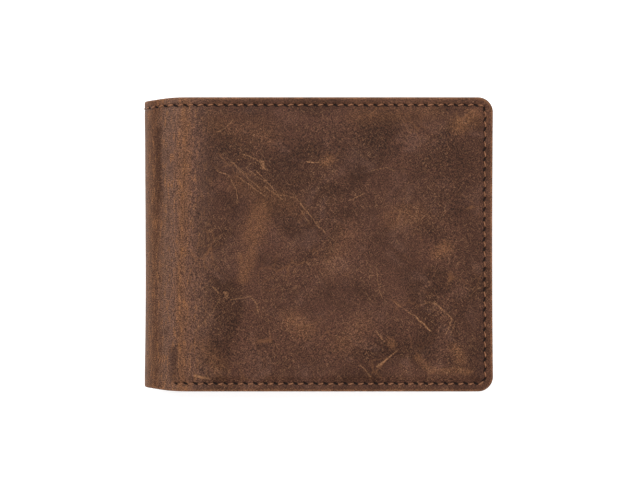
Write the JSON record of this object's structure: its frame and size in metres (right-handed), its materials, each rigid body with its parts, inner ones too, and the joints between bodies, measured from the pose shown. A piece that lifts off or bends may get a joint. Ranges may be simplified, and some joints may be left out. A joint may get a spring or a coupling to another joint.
{
  "type": "trifold wallet",
  "caption": "Landscape leather wallet with a rounded spine, banknote compartments, stepped card pockets and a centre leaf with a clear window.",
  "frame": {"origin": "middle of the underside of the closed wallet, lying on its back cover", "axes": "+X from the spine to the free edges, +Y towards the mouth of the banknote compartment, +Z from the back cover to the front cover"},
  "size_m": [0.116, 0.097, 0.02],
  "materials": {
    "outer_leather": "satin",
    "inner_leather": "satin",
    "lining_fabric": "matte",
    "interlining_board": "matte",
    "thread": "satin",
    "clear_film": "gloss"
  },
  "bodies": {
    "back_leaf": {"back_cover": "outer_leather", "back_interlining": "interlining_board", "back_lining": "lining_fabric", "back_note_wall": "inner_leather", "back_card_pocket_1": "inner_leather", "back_card_pocket_2": "inner_leather", "back_card_pocket_3": "inner_leather", "back_card_pocket_4": "inner_leather", "back_seam_thread": "thread", "centre_leaf_hinge": "inner_leather"},
    "spine_lower": {"spine_leather_lower": "outer_leather", "spine_lining_lower": "lining_fabric", "spine_thread_lower": "thread"},
    "spine_middle": {"spine_leather_middle": "outer_leather", "spine_lining_middle": "lining_fabric", "spine_thread_middle": "thread"},
    "spine_upper": {"spine_leather_upper": "outer_leather", "spine_lining_upper": "lining_fabric", "spine_thread_upper": "thread"},
    "front_leaf": {"front_cover": "outer_leather", "front_interlining": "interlining_board", "front_lining": "lining_fabric", "front_note_wall": "inner_leather", "front_card_pocket_1": "inner_leather", "front_card_pocket_2": "inner_leather", "front_card_pocket_3": "inner_leather", "front_card_pocket_4": "inner_leather", "front_seam_thread": "thread"},
    "centre_leaf": {"centre_leaf_core": "lining_fabric", "centre_window_film": "clear_film", "centre_window_frame": "inner_leather", "centre_card_pocket_1": "inner_leather", "centre_card_pocket_2": "inner_leather", "centre_card_pocket_3": "inner_leather", "centre_seam_thread": "thread"}
  },
  "joints": [
    {"name": "back_fold", "type": "hinge", "parent": "back_leaf", "child": "spine_lower", "pos_m": [-0.05177, 0, 0.00113], "axis": [0, -1, 0], "range_deg": [0, 45]},
    {"name": "lower_spine_fold", "type": "hinge", "parent": "spine_lower", "child": "spine_middle", "pos_m": [-0.05697, 0, 0.00633], "axis": [0, -1, 0], "range_deg": [0, 45]},
    {"name": "upper_spine_fold", "type": "hinge", "parent": "spine_middle", "child": "spine_upper", "pos_m": [-0.05697, 0, 0.01367], "axis": [0, -1, 0], "range_deg": [0, 45]},
    {"name": "front_fold", "type": "hinge", "parent": "spine_upper", "child": "front_leaf", "pos_m": [-0.05177, 0, 0.01887], "axis": [0, -1, 0], "range_deg": [0, 45]},
    {"name": "centre_leaf_turn", "type": "hinge", "parent": "back_leaf", "child": "centre_leaf", "pos_m": [-0.0466, 0, 0.01], "axis": [0, -1, 0], "range_deg": [0, 180]}
  ],
  "couplings": [
    {"joint": "back_fold", "follows": "front_fold", "ratio": 1},
    {"joint": "lower_spine_fold", "follows": "front_fold", "ratio": 1},
    {"joint": "upper_spine_fold", "follows": "front_fold", "ratio": 1},
    {"joint": "centre_leaf_turn", "follows": "front_fold", "ratio": 2}
  ]
}
